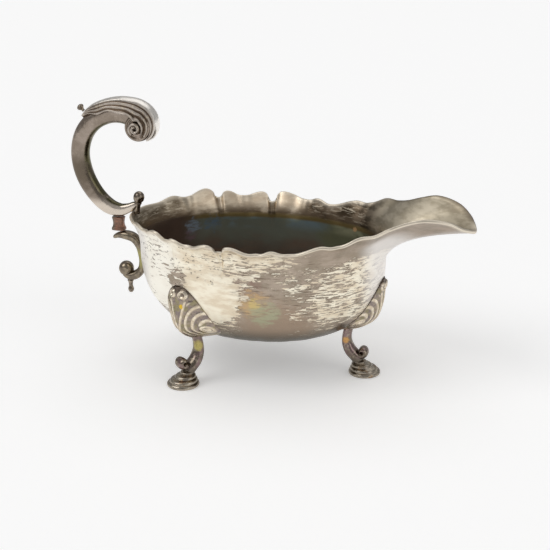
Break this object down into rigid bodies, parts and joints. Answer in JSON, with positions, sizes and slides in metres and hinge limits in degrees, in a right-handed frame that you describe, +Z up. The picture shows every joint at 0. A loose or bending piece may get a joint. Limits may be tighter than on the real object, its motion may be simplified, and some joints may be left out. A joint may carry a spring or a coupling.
{
  "type": "sauce boat",
  "caption": "Oval silver sauce boat with a wavy rim, a long pouring lip, a flying leaf-capped scroll handle and scroll legs with shell knees and stepped feet.",
  "frame": {"origin": "on the table under the middle of the object's box", "axes": "+X along the pouring lip, +Y to the pourer's left, +Z up"},
  "size_m": [0.1934, 0.096, 0.1258],
  "materials": {
    "bowl_silver": "hand-raised silver, bright cream patches broken by brown-grey tarnish streaks",
    "shell_silver": "cast silver, bright ridges with tarnished grooves",
    "leg_silver": "cast silver, dark brown-grey tarnish with worn highlights",
    "handle_silver": "cast and chased silver, warm grey-brown tarnish, polished by the hand",
    "link_solder": "reddish-brown tarnished silver and solder"
  },
  "bodies": {
    "root": {"bowl": "bowl_silver", "front_shell_knee": "shell_silver", "rear_left_shell_knee": "shell_silver", "rear_right_shell_knee": "shell_silver", "front_leg_scroll": "leg_silver", "rear_left_leg_scroll": "leg_silver", "rear_right_leg_scroll": "leg_silver", "front_hoof_foot": "leg_silver", "rear_left_hoof_foot": "leg_silver", "rear_right_hoof_foot": "leg_silver", "handle_scroll": "handle_silver", "handle_leaf_cap": "handle_silver", "leaf_tip_bead": "handle_silver", "rim_bead": "handle_silver", "handle_link": "link_solder", "lower_scroll": "handle_silver", "tail_spur": "handle_silver"}
  },
  "joints": []
}
